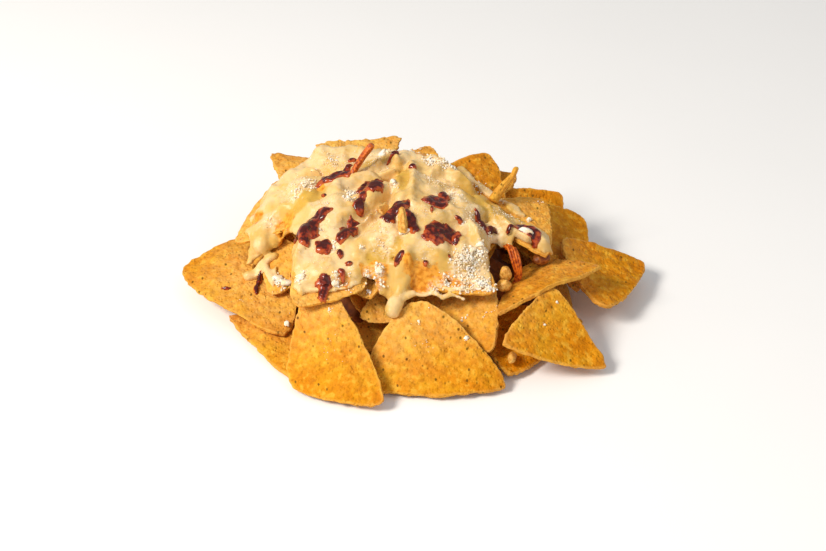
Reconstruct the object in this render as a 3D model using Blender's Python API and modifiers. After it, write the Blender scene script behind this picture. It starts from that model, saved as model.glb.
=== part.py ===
"""A loose heap of loaded nachos: triangular corn chips laid in a ring and stacked to a low peak, with cheese
sauce poured over the top and a few pieces of meat. Metres, +Z up, the heap's middle over the origin, which is
on the ground under it.

Every chip is laid on the ones before it, from the bottom of the heap to the top, and is lifted until it
clears them. The inner heap then fills the space below the chips, and the sauce drapes over what lies on top.
"""

import math

import bmesh
import bpy
from mathutils import Vector, noise
from mathutils.bvhtree import BVHTree

MM = 0.001

CHIP_COLOUR = (0.78, 0.42, 0.07)
SAUCE_COLOUR = (0.93, 0.76, 0.36)
MEAT_COLOUR = (0.62, 0.27, 0.07)

# Chips
CHIP_THICKNESS = 1.8 * MM
CHIP_CUTS = 6  # points added along each side
CHIP_SPREAD = 1.10  # a chip's sharp corners over its rounded ones, from its middle
CORNER_PULL = 0.14  # how far rounding draws a corner in, as a share of its distance from the middle
CORNER_START = 0.75  # a point's share of a corner from which on it counts as near that corner
RIM_WOBBLE = 0.9 * MM
RIM_WAVES = 45  # waves of the rim's wobble per metre
SURFACE_WOBBLE = 0.7 * MM
SURFACE_WAVES = 38
CURL_SPAN = 30 * MM  # distance from the curl's axis at which a chip has dropped by its curl
CURL_RISE = 0.25  # how far the axis itself rises, as a share of the curl

# Laying
GAP = 0.35 * MM
LIFT_STEP = 0.4 * MM
MOST_LIFT = 30 * MM

# Sheets: the heap and the sauce are sheets of small triangles, fitted to readings of the pile
READING = 1.3 * MM
READ_FROM = 200 * MM
SETTLE_ROUNDS = 12
RIM_DRAW = 0.45  # the most that a rim vertex moves to reach the outline, as a share of a cell
INSIDE_TOLERANCE = 0.02  # how far outside a triangle a spot may lie, as a share, and still count

# Inner heap
HEAP_CELL = 8 * MM
HEAP_RADII = (80 * MM, 66 * MM)
HEAP_HEIGHT = 44 * MM
HEAP_LEAST = 1.2 * MM
HEAP_CLEAR = 1.2 * MM
HEAP_WOBBLE = 0.08

# Sauce
SAUCE_CELL = 4.5 * MM
SAUCE_THICKNESS = 3.6 * MM
SAUCE_EDGE = 1.4 * MM
SAUCE_CLEAR = 1.3 * MM
SAUCE_ROUNDING = 5 * MM  # distance from the rim over which the sauce reaches its thickness
SAUCE_BRIDGING = 3  # rounds of levelling of its underside across the gaps
SAUCE_POOLING = 9  # rounds of levelling of its top between the chips
SAUCE_OUTLINE = (
    (-54, 46), (-42, 46), (-30, 48), (-16, 42), (-4, 41), (10, 39), (20, 34), (31, 22), (43, 7),
    (56, -2), (67, -6), (68, -19), (56, -23), (46, -20), (39, -26), (37, -36), (24, -41), (8, -39),
    (-6, -40), (-12, -34), (-18, -36), (-23, -46), (-38, -51), (-50, -50), (-58, -38), (-66, -20),
    (-68, -8), (-60, -2), (-70, 8), (-80, 10), (-76, 24), (-70, 34), (-63, 40),
)
# Runs of sauce past that outline: from, to, and half the width, in mm
SAUCE_RUNS = (
    ((-2, -38), (-12, -54), 4.5),
    ((-52, -46), (-55, -57), 3.5),
    ((-68, 6), (-81, 1), 6),
    ((-64, -14), (-82, -11), 4),
    ((-58, -30), (-66, -27), 4),
)

LUMP_WOBBLE = 0.25
LUMP_WAVES = 1.3  # waves of a lump's wobble per half size

# Meat and crumbs: name, middle in mm, half sizes in mm, and turns about x, y and z in degrees
TUCKED = (
    ("meat_between_upper", (44, -32, 31), (3.2, 3, 5), (10, 0, 0)),
    ("meat_between_lower", (43, -38, 25), (3.4, 3, 3.6), (0, 20, 0)),
    ("meat_under_right", (62, -16, 26), (4.6, 3.6, 3.2), (0, 0, 20)),
    ("meat_shred_right", (49, -27, 34), (2.4, 2.6, 9), (-20, 14, 0)),
    ("meat_under_front", (46, -68, 9), (2.2, 4.4, 2), (0, 0, -12)),
)
ON_TOP = (
    ("meat_strip_top", (-25, 21, 58), (1.9, 1.6, 9), (8, 38, 0)),
    ("meat_cone_top", (-5, -26, 56), (2.2, 1.8, 5.2), (16, 4, 0)),
    ("chip_shard_right", (46, 14, 56), (1.9, 1.2, 9), (-6, 48, 20)),
)

# Each chip: its name, its three corners in mm (x to the right, y to the back, z up), its curl (by how many mm
# its sides drop below its middle line, and that line's direction, in degrees from the first corner's median),
# and its fullness: by how many mm its sides bow outwards.
CHIPS = (
    # the ring that rests lowest
    ("chip_low_left", (-53, -80, 2), (-91, -30, 5), (-40, -34, 7), 2, 30, 0),
    ("chip_low_right", (44, -77, 3), (84, -32, 4), (26, -32, 14), 3, 0, 1),
    ("chip_back_left_low", (-82, 48, 4), (-40, 76, 8), (-50, 20, 20), 3, 0, 2),
    ("chip_back_left", (-58, 86, 4), (-74, 34, 16), (-22, 52, 20), 4, 20, 2),
    ("chip_back_middle", (-28, 95, 3), (-54, 52, 20), (-4, 54, 17), 3, 0, 2),
    ("chip_back_middle_right", (22, 93, 4), (-2, 52, 25), (46, 50, 20), 4, 0, 2),
    ("chip_back_right", (60, 77, 4), (28, 54, 26), (76, 30, 16), 3, 0, 2),
    ("chip_back_right_low", (90, 32, 5), (56, 56, 8), (58, 4, 12), 3, 0, 2),
    # the ring in front and at the sides
    ("chip_middle_right_front", (37, -70, 11), (37, -32, 31), (-6, -34, 14), 2, 0, 2),
    ("chip_front_middle", (3, -47, 27), (-25, -84, 2), (44, -86, 4), 3, 0, 3),
    ("chip_front_left_inner", (-20, -46, 12), (-44, -6, 32), (4, -6, 32), 3, 0, 1),
    ("chip_left", (-117, -2, 13), (-60, -52, 12), (-64, 25, 21), 3, 60, 5),
    ("chip_front_left", (-45, -37, 36), (-58, -81, 4), (-12, -98, 6), 4, 0, 3),
    ("chip_right_back_inner", (77, 43, 29), (30, 28, 37), (64, 4, 12), 2, 0, 2),
    ("chip_right_back", (88, 33, 18), (44, 20, 36), (82, -18, 8), 2, 0, 2),
    ("chip_right", (117, 8, 10), (92, -38, 14), (72, 4, 26), -3, 30, 3),
    ("chip_right_front", (91, -71, 4), (40, -76, 22), (66, -39, 29), -2, 0, 1),
    ("chip_right_curled", (91, -24, 29), (38, -58, 25), (56, -8, 17), 4, 90, 1),
    # the second layer
    ("chip_behind_left", (-56, 74, 18), (-70, 34, 28), (-26, 46, 34), 3, 0, 2),
    ("chip_behind_middle", (-6, 82, 18), (-34, 44, 36), (14, 42, 34), 4, 0, 2),
    ("chip_behind_right", (40, 72, 20), (16, 44, 34), (56, 36, 28), 2, 0, 2),
    ("chip_upper_back_right_rear", (53, 46, 37), (22, 46, 39), (40, 24, 37), 2, 0, 2),
    ("chip_upper_back_right", (39, 50, 46), (10, 28, 46), (46, 12, 34), 2, 0, 2),
    ("chip_right_upper", (66, 24, 37), (26, 6, 43), (65, -24, 34), 2, 0, 1),
    ("chip_left_upper", (-90, 3, 26), (-64, 47, 37), (-44, -4, 44), 4, 90, 2),
    ("chip_front_small_inner", (-19, -50, 28), (-48, -22, 34), (-8, -10, 42), 3, 0, 1),
    ("chip_front_small", (-56, -58, 29), (-21, -46, 33), (-48, -16, 45), 3, 0, 3),
    ("chip_front_upper", (40, -50, 32), (-12, -38, 30), (18, 0, 44), 2, 0, 1),
    # the top
    ("chip_upper_back_left", (-74, 61, 36), (-58, 20, 38), (-34, 44, 38), 3, 0, 2),
    ("chip_upper_back_left_rear", (-46, 50, 44), (-16, 55, 42), (-28, 26, 42), 2, 0, 2),
    ("chip_crest_left", (-50, 48, 53), (-6, 55, 55), (-26, 14, 48), 3, 0, 2),
    ("chip_crest_right", (8, 50, 50), (-14, 30, 52), (14, 20, 48), 3, 0, 2),
    ("chip_under_sauce_left", (-58, 20, 46), (-38, -18, 50), (-10, 12, 54), 3, 0, 2),
    ("chip_under_sauce_front", (-2, -12, 50), (-34, -42, 40), (14, -38, 42), 3, 0, 2),
    ("chip_under_sauce_right", (-6, 20, 51), (-3, -22, 51), (35, -3, 42), 2, 0, 2),
)


def clear_scene():
    for obj in list(bpy.data.objects):
        bpy.data.objects.remove(obj, do_unlink=True)


def new_collection(name):
    collection = bpy.data.collections.new(name)
    bpy.context.scene.collection.children.link(collection)
    return collection


def new_material(name, colour, roughness):
    material = bpy.data.materials.new(name)
    material.use_nodes = True
    shader = material.node_tree.nodes["Principled BSDF"]
    shader.inputs["Base Color"].default_value = (*colour, 1)
    shader.inputs["Roughness"].default_value = roughness
    shader.inputs["Metallic"].default_value = 0
    material.diffuse_color = (*colour, 1)
    return material


def chip_surface(corners, curl, curl_turn, fullness, seed):
    """The middle surface of one chip: a triangle with round corners, slightly full sides and a curl."""
    bm = bmesh.new()
    bmesh.ops.create_circle(bm, cap_ends=True, segments=3, radius=1)
    ends = [v.co.copy() for v in bm.verts]
    bmesh.ops.subdivide_edges(bm, edges=bm.edges[:], cuts=CHIP_CUTS, use_grid_fill=True)
    bmesh.ops.triangulate(bm, faces=bm.faces[:])
    middle = sum(corners, Vector()) / 3
    corners = [middle + (corner - middle) * CHIP_SPREAD for corner in corners]
    normal = (corners[1] - corners[0]).cross(corners[2] - corners[0]).normalized()
    if normal.z < 0:
        normal = -normal
    median = (corners[0] - middle).normalized()
    across = (normal.cross(median) * math.cos(math.radians(curl_turn))
              - median * math.sin(math.radians(curl_turn)))
    area = (ends[1] - ends[0]).cross(ends[2] - ends[0]).z
    for vert in bm.verts:
        share = [(ends[(i + 1) % 3] - vert.co).cross(ends[(i + 2) % 3] - vert.co).z / area for i in range(3)]
        point = sum((corner * part for corner, part in zip(corners, share)), Vector())
        low, mid, high = sorted(share)
        at_rim = 1 - 3 * low
        point += (middle - point) * CORNER_PULL * max(0, (high - CORNER_START) / (1 - CORNER_START)) ** 2
        outward = (point - middle).normalized()
        wobble = noise.noise(point * RIM_WAVES + Vector((seed, 0, 0)))
        point += outward * at_rim * (fullness * 4 * mid * high + RIM_WOBBLE * wobble)
        off_axis = (point - middle).dot(across) / CURL_SPAN
        wave = noise.noise(point * SURFACE_WAVES + Vector((0, seed, 0)))
        point += normal * (curl * (CURL_RISE - off_axis ** 2) + SURFACE_WOBBLE * wave)
        vert.co = point
    bmesh.ops.recalc_face_normals(bm, faces=bm.faces[:])
    bm.normal_update()
    if sum(face.normal.dot(normal) for face in bm.faces) < 0:
        bmesh.ops.reverse_faces(bm, faces=bm.faces[:])
    return bm


def object_of(bm, name, collection, material):
    mesh = bpy.data.meshes.new(name)
    bm.to_mesh(mesh)
    bm.free()
    obj = bpy.data.objects.new(name, mesh)
    obj.data.materials.append(material)
    collection.objects.link(obj)
    return obj


def finished(obj, grown=0.0):
    """An object's finished points and faces in the world, grown outwards by a margin."""
    bpy.context.view_layer.update()
    evaluated = obj.evaluated_get(bpy.context.evaluated_depsgraph_get())
    mesh = evaluated.to_mesh()
    points = [obj.matrix_world @ (v.co + v.normal * grown) for v in mesh.vertices]
    faces = [tuple(face.vertices) for face in mesh.polygons]
    evaluated.to_mesh_clear()
    return points, faces


def lay(obj, laid):
    """Lifts an object until it clears the ground and everything laid before it."""
    points, faces = finished(obj, GAP)
    lift = max(0.0, GAP - min(point.z for point in points))
    while lift < MOST_LIFT:
        raised = BVHTree.FromPolygons([point + Vector((0, 0, lift)) for point in points], faces)
        if not any(raised.overlap(tree) for tree in laid):
            break
        lift += LIFT_STEP
    obj.location.z += lift
    laid.append(BVHTree.FromPolygons(*finished(obj)))


def add_chip(place, seed, laid, collection):
    name, first, second, third, curl, curl_turn, fullness = place
    corners = [Vector(corner) * MM for corner in (first, second, third)]
    bm = chip_surface(corners, curl * MM, curl_turn, fullness * MM, seed)
    obj = object_of(bm, name, collection, new_material(name, CHIP_COLOUR, 0.6))
    solidify = obj.modifiers.new("thickness", "SOLIDIFY")
    solidify.thickness = CHIP_THICKNESS
    solidify.offset = 0
    lay(obj, laid)


def add_lump(place, seed, colour, laid, collection):
    """A small uneven piece: a rounded lump, or a strip where one half size is much longer."""
    name, middle, halves, turns = place
    bm = bmesh.new()
    bmesh.ops.create_icosphere(bm, subdivisions=2, radius=1)
    for vert in bm.verts:
        vert.co *= 1 + LUMP_WOBBLE * noise.noise(vert.co * LUMP_WAVES + Vector((seed, 0, 0)))
        vert.co = Vector(side * half * MM for side, half in zip(vert.co, halves))
    obj = object_of(bm, name, collection, new_material(name, colour, 0.5))
    obj.location = Vector(middle) * MM
    obj.rotation_euler = [math.radians(turn) for turn in turns]
    lay(obj, laid)


class Readings:
    """Heights of the pile at any place: its top seen from above, and its underside seen from below."""

    def __init__(self, objects):
        points, faces = [], []
        for obj in objects:
            more, rings = finished(obj)
            faces += [tuple(index + len(points) for index in ring) for ring in rings]
            points += more
        self.tree = BVHTree.FromPolygons(points, faces)

    def height(self, x, y, side):
        """The pile's top where side is 1, its underside where side is -1, None beside the pile."""
        hit = self.tree.ray_cast(Vector((x, y, side * READ_FROM)), Vector((0, 0, -side)))[0]
        return hit.z if hit else None


class Sheet:
    """A flat mesh inside an outline, with a height for each vertex that can be kept clear of the pile.

    depth_inside(x, y) is the distance inside the outline, negative outside it. With side 1 the sheet lies
    above the pile, with side -1 below it."""

    def __init__(self, low, high, cell, depth_inside, side):
        self.side = side
        self.depth_inside = depth_inside
        counts = [math.ceil((high[i] - low[i]) / cell) for i in range(2)]
        self.bm = bmesh.new()
        bmesh.ops.create_grid(self.bm, x_segments=counts[0], y_segments=counts[1], size=0.5)
        for vert in self.bm.verts:
            vert.co = [low[i] + (vert.co[i] + 0.5) * counts[i] * cell for i in range(2)] + [0]
        outside = [face for face in self.bm.faces if depth_inside(*face.calc_center_median().xy) <= 0]
        bmesh.ops.delete(self.bm, geom=outside, context="FACES")
        for vert in [vert for vert in self.bm.verts if vert.is_boundary]:
            self.draw_to_outline(vert, cell)
        bmesh.ops.triangulate(self.bm, faces=self.bm.faces[:])
        self.bm.verts.index_update()
        self.bm.verts.ensure_lookup_table()
        self.height = [0.0] * len(self.bm.verts)
        self.limits = []

    def draw_to_outline(self, vert, cell):
        x, y, _ = vert.co
        step = cell / 8
        slope = Vector((self.depth_inside(x + step, y) - self.depth_inside(x - step, y),
                        self.depth_inside(x, y + step) - self.depth_inside(x, y - step), 0))
        most = RIM_DRAW * cell
        if slope.length > 0:
            vert.co -= slope.normalized() * max(-most, min(most, self.depth_inside(x, y)))

    def read(self, pile, margin):
        """Notes what the sheet has to clear: for each spot in a triangle the corners, shares and limit."""
        for face in self.bm.faces:
            a, b, c = [vert.co.xy for vert in face.verts]
            area = (b - a).cross(c - a)
            ranges = [range(math.floor(min(p[i] for p in (a, b, c)) / READING),
                            math.ceil(max(p[i] for p in (a, b, c)) / READING) + 1) for i in range(2)]
            spots = [Vector((i, j)) * READING for i in ranges[0] for j in ranges[1]]
            for spot in spots + [a, b, c]:
                shares = [(b - spot).cross(c - spot) / area, (c - spot).cross(a - spot) / area]
                shares.append(1 - sum(shares))
                limit = pile.height(spot.x, spot.y, self.side) if min(shares) > -INSIDE_TOLERANCE else None
                if limit is not None:
                    corners = [vert.index for vert in face.verts]
                    self.limits.append((corners, shares, limit + self.side * margin))

    def start_at_limits(self):
        for corners, shares, limit in self.limits:
            nearest = corners[shares.index(max(shares))]
            self.height[nearest] = self.side * max(self.side * self.height[nearest], self.side * limit)

    def clear(self):
        """Moves the vertices that are behind their limits until every triangle clears the pile."""
        for _ in range(SETTLE_ROUNDS):
            for corners, shares, limit in self.limits:
                height = sum(self.height[key] * share for key, share in zip(corners, shares))
                short = self.side * (limit - height)
                if short <= 0:
                    continue
                behind = [(key, share) for key, share in zip(corners, shares)
                          if self.side * (limit - self.height[key]) > 0 and share > 0]
                total = sum(share for key, share in behind)
                for key, share in behind:
                    most = self.side * (limit - self.height[key])
                    self.height[key] += self.side * min(short / total, most)

    def level(self, rounds):
        """Levels the sheet: a vertex only ever moves to the side that keeps it clear."""
        for _ in range(rounds):
            before = list(self.height)
            for vert in self.bm.verts:
                near = [before[edge.other_vert(vert).index] for edge in vert.link_edges]
                mean = sum(near) / len(near)
                self.height[vert.index] = self.side * max(self.side * before[vert.index], self.side * mean)

    def solid(self, lower, upper, name, collection, material):
        """A closed solid between two lists of heights."""
        base = self.bm.verts[:]
        keys = {tuple(vert.co.xy): vert.index for vert in base}
        made = bmesh.ops.extrude_face_region(self.bm, geom=self.bm.faces[:])["geom"]
        for vert in [item for item in made if isinstance(item, bmesh.types.BMVert)]:
            vert.co.z = upper[keys[tuple(vert.co.xy)]]
        for vert in base:
            vert.co.z = lower[keys[tuple(vert.co.xy)]]
        bmesh.ops.triangulate(self.bm, faces=self.bm.faces[:])
        bmesh.ops.recalc_face_normals(self.bm, faces=self.bm.faces[:])
        return object_of(self.bm, name, collection, material)


def heap_share(x, y):
    """0 at the middle of the inner heap, 1 at its rim."""
    return math.hypot(x / HEAP_RADII[0], y / HEAP_RADII[1])


def add_inner_heap(objects, collection):
    """The chips that don't show, as one low dome under the others, flat below."""
    low, high = [-radius - HEAP_CELL for radius in HEAP_RADII], [radius + HEAP_CELL for radius in HEAP_RADII]
    sheet = Sheet(low, high, HEAP_CELL, lambda x, y: (1 - heap_share(x, y)) * min(HEAP_RADII), -1)
    for vert in sheet.bm.verts:
        uneven = 1 + HEAP_WOBBLE * noise.noise(vert.co * SURFACE_WAVES)
        dome = HEAP_HEIGHT * uneven * (1 - heap_share(*vert.co.xy) ** 2)
        sheet.height[vert.index] = max(HEAP_LEAST, dome)
    sheet.read(Readings(objects), HEAP_CLEAR)
    sheet.clear()
    flat = [0.0] * len(sheet.height)
    material = new_material("inner_heap", CHIP_COLOUR, 0.7)
    return sheet.solid(flat, sheet.height, "inner_heap", collection, material)


def distance_to_line(point, a, b):
    along = max(0, min(1, (point - a).dot(b - a) / (b - a).length_squared))
    return (point - a - (b - a) * along).length


def sauce_depth(x, y):
    """The distance of a point inside the sauce's outline and runs, negative outside them."""
    point = Vector((x, y)) / MM
    inside, nearest = False, math.inf
    for index, corner in enumerate(SAUCE_OUTLINE):
        a, b = Vector(corner), Vector(SAUCE_OUTLINE[(index + 1) % len(SAUCE_OUTLINE)])
        nearest = min(nearest, distance_to_line(point, a, b))
        if (a.y > point.y) != (b.y > point.y) and point.x < a.x + (b.x - a.x) * (point.y - a.y) / (b.y - a.y):
            inside = not inside
    depth = nearest if inside else -nearest
    for start, end, half in SAUCE_RUNS:
        depth = max(depth, half - distance_to_line(point, Vector(start), Vector(end)))
    return depth * MM


def add_sauce(objects, collection):
    """The sauce: it drapes over the pile, levels between the chips and rounds off at the rim."""
    low = [min(point[i] for point in SAUCE_OUTLINE) * MM - 3 * SAUCE_CELL for i in range(2)]
    high = [max(point[i] for point in SAUCE_OUTLINE) * MM + 3 * SAUCE_CELL for i in range(2)]
    sheet = Sheet(low, high, SAUCE_CELL, sauce_depth, 1)
    sheet.read(Readings(objects), SAUCE_CLEAR)
    sheet.start_at_limits()
    sheet.level(SAUCE_BRIDGING)
    sheet.clear()
    lower = list(sheet.height)
    sheet.level(SAUCE_POOLING)
    upper = []
    for vert, under, pooled in zip(sheet.bm.verts, lower, sheet.height):
        share = max(0.0, min(1.0, sauce_depth(*vert.co.xy) / SAUCE_ROUNDING))
        thickness = SAUCE_EDGE + (SAUCE_THICKNESS - SAUCE_EDGE) * math.sin(share * math.pi / 2)
        upper.append(under + (pooled - under) * share + thickness)
    material = new_material("cheese_sauce", SAUCE_COLOUR, 0.35)
    return sheet.solid(lower, upper, "cheese_sauce", collection, material)


def centre(collection):
    """Moves everything so that the middle of its bounding box is over the origin, on the ground."""
    points = [point for obj in collection.objects for point in finished(obj)[0]]
    for axis in range(2):
        middle = (min(point[axis] for point in points) + max(point[axis] for point in points)) / 2
        for obj in collection.objects:
            obj.location[axis] -= middle


def main():
    clear_scene()
    collection = new_collection("nachos")
    laid = []
    for seed, place in enumerate(CHIPS):
        add_chip(place, seed, laid, collection)
    for seed, place in enumerate(TUCKED):
        add_lump(place, seed, MEAT_COLOUR, laid, collection)
    objects = list(collection.objects)
    objects.append(add_inner_heap(objects, collection))
    sauce = add_sauce(objects, collection)
    laid.append(BVHTree.FromPolygons(*finished(sauce)))
    for seed, place in enumerate(ON_TOP):
        colour = CHIP_COLOUR if place[0].startswith("chip") else MEAT_COLOUR
        add_lump(place, seed, colour, laid, collection)
    centre(collection)


main()
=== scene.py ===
"""Loaded nachos: the looks of a loose heap of corn chips under cheese sauce, with grated cheese, dark sauce
and bits of meat. Every chip keeps its place from the frame and is rebuilt finely from it. What runs or is
scattered is laid on the chips as they lie. Metres, +Z up."""

import math
import random

import bmesh
import bpy
import numpy as np
from mathutils import Euler, Matrix, Vector, noise
from mathutils.bvhtree import BVHTree
from mathutils.kdtree import KDTree


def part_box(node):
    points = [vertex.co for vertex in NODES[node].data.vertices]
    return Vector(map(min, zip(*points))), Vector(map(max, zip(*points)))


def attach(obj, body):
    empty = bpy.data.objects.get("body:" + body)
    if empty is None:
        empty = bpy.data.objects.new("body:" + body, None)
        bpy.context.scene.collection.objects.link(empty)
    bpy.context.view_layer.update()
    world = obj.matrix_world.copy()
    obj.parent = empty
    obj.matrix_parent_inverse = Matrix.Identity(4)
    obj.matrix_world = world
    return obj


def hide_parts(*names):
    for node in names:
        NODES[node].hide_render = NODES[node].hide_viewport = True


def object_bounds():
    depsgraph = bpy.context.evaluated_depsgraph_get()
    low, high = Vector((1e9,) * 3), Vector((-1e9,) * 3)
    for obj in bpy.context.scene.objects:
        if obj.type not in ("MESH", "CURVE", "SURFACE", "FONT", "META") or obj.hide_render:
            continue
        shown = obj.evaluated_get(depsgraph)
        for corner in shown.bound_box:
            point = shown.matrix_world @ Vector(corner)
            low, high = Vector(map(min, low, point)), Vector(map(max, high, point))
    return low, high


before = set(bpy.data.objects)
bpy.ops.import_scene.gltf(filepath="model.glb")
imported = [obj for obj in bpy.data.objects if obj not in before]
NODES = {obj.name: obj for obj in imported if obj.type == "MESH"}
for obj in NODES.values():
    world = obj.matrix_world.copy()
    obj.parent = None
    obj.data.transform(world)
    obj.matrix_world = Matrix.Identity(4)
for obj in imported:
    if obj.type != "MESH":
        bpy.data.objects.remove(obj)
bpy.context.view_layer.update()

MM = 0.001
LOW, HIGH = [Vector(corner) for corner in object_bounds()]

# Where the rays that read the pile start
ABOVE = HIGH.z + 50 * MM
DOWN = Vector((0, 0, -1))


# ---------------------------------------------------------------- finishes

def linear(hex_colour):
    """An sRGB hex value as a linear colour with alpha."""
    channels = [int(hex_colour[i:i + 2], 16) / 255 for i in (0, 2, 4)]
    return [c / 12.92 if c <= 0.04045 else ((c + 0.055) / 1.055) ** 2.4 for c in channels] + [1.0]


def add(tree, kind, inputs=None, **settings):
    """Adds a node with its settings. An input, by name or number, is a value, or a node or output to link."""
    node = tree.nodes.new("ShaderNode" + kind)
    for name, value in settings.items():
        setattr(node, name, value)
    for key, value in (inputs or {}).items():
        if isinstance(key, str):
            key = next(i for i, socket in enumerate(node.inputs) if socket.enabled and socket.name == key)
        if isinstance(value, bpy.types.Node):
            value = next(socket for socket in value.outputs if socket.enabled)
        if isinstance(value, bpy.types.NodeSocket):
            tree.links.new(value, node.inputs[key])
        else:
            node.inputs[key].default_value = value
    return node


def new_finish(name, **constants):
    """A material with its shader's constant values set: (material, tree, shader, place on the object)."""
    material = bpy.data.materials.new(name)
    material.use_nodes = True
    tree = material.node_tree
    tree.nodes.clear()
    shader = add(tree, "BsdfPrincipled")
    for key, value in constants.items():
        shader.inputs[key.replace("_", " ")].default_value = value
    add(tree, "OutputMaterial", {"Surface": shader})
    return material, tree, shader, add(tree, "TexCoord").outputs["Object"]


# In the map ranges below the inputs are: 0 the value, 1 and 2 the range it has, 3 and 4 the range it gets.
SMOOTH = {"interpolation_type": "SMOOTHSTEP"}
COLOUR = {"data_type": "RGBA"}


def tinted(tree, colour, tint, value, low, high, least, most):
    """A tint laid smoothly over a colour, by a share that goes from least to most as a value goes from low to
    high. Either colour is a hex value or a node."""
    colour, tint = [linear(each) if isinstance(each, str) else each for each in (colour, tint)]
    share = add(tree, "MapRange", {0: value, 1: low, 2: high, 3: least, 4: most}, **SMOOTH)
    return add(tree, "Mix", {"Factor": share, "A": colour, "B": tint}, **COLOUR)


def dust_and_sheen_over(tree, where, colour, dust_and_sheen_colour, grain, low, high, least, most):
    """A colour under cheese dust and a painted sheen, as much as the mesh says, in grains of a size in
    metres.
    """
    dust_and_sheen = add(tree, "Attribute", attribute_name="dust_and_sheen").outputs["Fac"]
    grains = add(tree, "TexNoise", {"Vector": where, "Scale": 1 / grain, "Detail": 3})
    fallen = add(tree, "MapRange", {0: grains, 1: low, 2: high, 3: least, 4: most}, **SMOOTH)
    share = add(tree, "Math", {0: fallen, 1: dust_and_sheen}, operation="MULTIPLY")
    return add(tree, "Mix", {"Factor": share, "A": colour, "B": linear(dust_and_sheen_colour)}, **COLOUR)


def flecks(tree, where, cell, core, rim, strength, rare, sure):
    """Flecks in the middle of some cells, of a size in metres: (how much of one lies here, a draw for each).
    A fleck is full up to its core and ends at its rim. It shows in cells whose draw is above rare."""
    cells = add(tree, "TexVoronoi", {"Vector": where, "Scale": 1 / cell})
    draws = add(tree, "SeparateColor", {0: cells.outputs["Color"]})
    away = cells.outputs["Distance"]
    small = add(tree, "MapRange", {0: away, 1: core, 2: rim, 3: strength, 4: 0}, **SMOOTH)
    few = add(tree, "MapRange", {0: draws.outputs[0], 1: rare, 2: sure, 3: 0, 4: 1})
    return add(tree, "Math", {0: small, 1: few}, operation="MULTIPLY"), draws.outputs[1]


def to_shader(tree, shader, **sources):
    """Links nodes to the shader's inputs, each by the name of the input."""
    for name, source in sources.items():
        output = next(socket for socket in source.outputs if socket.enabled)
        tree.links.new(output, shader.inputs[name.replace("_", " ")])


def corn_chip_finish(name="fried_corn_dough", shade=0.0):
    """Fried corn dough, rolled, cut and fried: pebbled and matte with an oily sheen, golden, with a painted
    highlight on its blister tops and painted shade in its pits, brown and olive flecks of husk, toasted
    patches, browner corners and a paler broken rim."""
    material, tree, shader, where = new_finish(name, IOR=1.45, Specular_IOR_Level=0.1)
    rim = add(tree, "Attribute", attribute_name="from_rim").outputs["Fac"]
    corner = add(tree, "Attribute", attribute_name="corner").outputs["Fac"]
    tone = add(tree, "Attribute", attribute_name="tone").outputs["Fac"]
    # Dough colour in patches about 9 mm wide, and toasted ones about 17 mm wide
    mottle = add(tree, "TexNoise", {"Vector": where, "Scale": 1 / (9 * MM), "Detail": 3})
    colour = tinted(tree, "DA870A", "E6A41A", mottle, 0.3, 0.7, 0, 1)
    patches = add(tree, "TexNoise", {"Vector": where, "Scale": 1 / (17 * MM)})
    colour = tinted(tree, colour, "E08204", patches, 0.45, 0.68, 0, 0.5)
    # Some chips came out of the fryer darker than others
    share = add(tree, "MapRange", {0: tone, 1: 0, 2: 1, 3: 0, 4: 0.85})
    colour = add(tree, "Mix", {"Factor": share, "A": colour, "B": linear("CC7A02")}, **COLOUR)
    # Patches about 3 mm wide are painted paler and darker: a painted highlight on the tops of blisters,
    # and painted shade in the pits between them
    grain = add(tree, "TexNoise", {"Vector": where, "Scale": 1 / (3.3 * MM), "Detail": 4, "Roughness": 0.55})
    colour = tinted(tree, colour, "F8C244", grain, 0.5, 0.68, 0, 0.5)
    colour = tinted(tree, colour, "B46A06", grain, 0.34, 0.48, 0.55, 0)
    colour = tinted(tree, colour, "BE6C12", corner, 0.72, 1.0, 0, 0.6)
    colour = tinted(tree, colour, "F4C060", rim, 0.2, 1.3, 0.35, 0)
    # Fine cheese dust round the sauce, and a painted sheen where the chip faces up to the light
    colour = dust_and_sheen_over(tree, where, colour, "FBD07A", 2.4 * MM, 0.3, 0.7, 0.35, 0.85)
    # Flecks of husk, 0.6 mm wide and up to 2 mm long, in one of every two cells of 3.6 mm
    stretched = add(tree, "Mapping", {"Vector": where, "Scale": (1, 0.6, 1)})
    share, draw = flecks(tree, stretched, 3.6 * MM, 0.09, 0.22, 0.85, 0.5, 0.54)
    fleck = add(tree, "Mix", {"Factor": draw, "A": linear("5E3408"), "B": linear("66520F")}, **COLOUR)
    colour = add(tree, "Mix", {"Factor": share, "A": colour, "B": fleck}, **COLOUR)
    # What lies deep in the heap is painted browner by the share shade: painted shade
    colour = add(tree, "Mix", {"Factor": shade, "A": colour, "B": linear("8A4308")}, **COLOUR)
    oil = add(tree, "TexNoise", {"Vector": where, "Scale": 1 / (4 * MM)})
    dull = add(tree, "MapRange", {0: oil, 1: 0.3, 2: 0.7, 3: 0.45, 4: 0.68}, **SMOOTH)
    # Grit of ground corn about 0.9 mm wide, and pits about 1.9 mm apart
    grit = add(tree, "TexNoise", {"Vector": where, "Scale": 1 / (0.9 * MM), "Detail": 3, "Roughness": 0.6})
    pitted = add(tree, "TexVoronoi", {"Vector": where, "Scale": 1 / (1.9 * MM)})
    pits = add(tree, "MapRange", {0: pitted.outputs["Distance"], 1: 0, 2: 0.5, 3: 0, 4: 1}, **SMOOTH)
    height = add(tree, "Math", {0: grit, 1: pits}, operation="ADD")
    bump = add(tree, "Bump", {"Height": height, "Distance": 0.45 * MM, "Strength": 0.9})
    to_shader(tree, shader, Base_Color=colour, Roughness=dull, Normal=bump)
    return material


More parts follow.
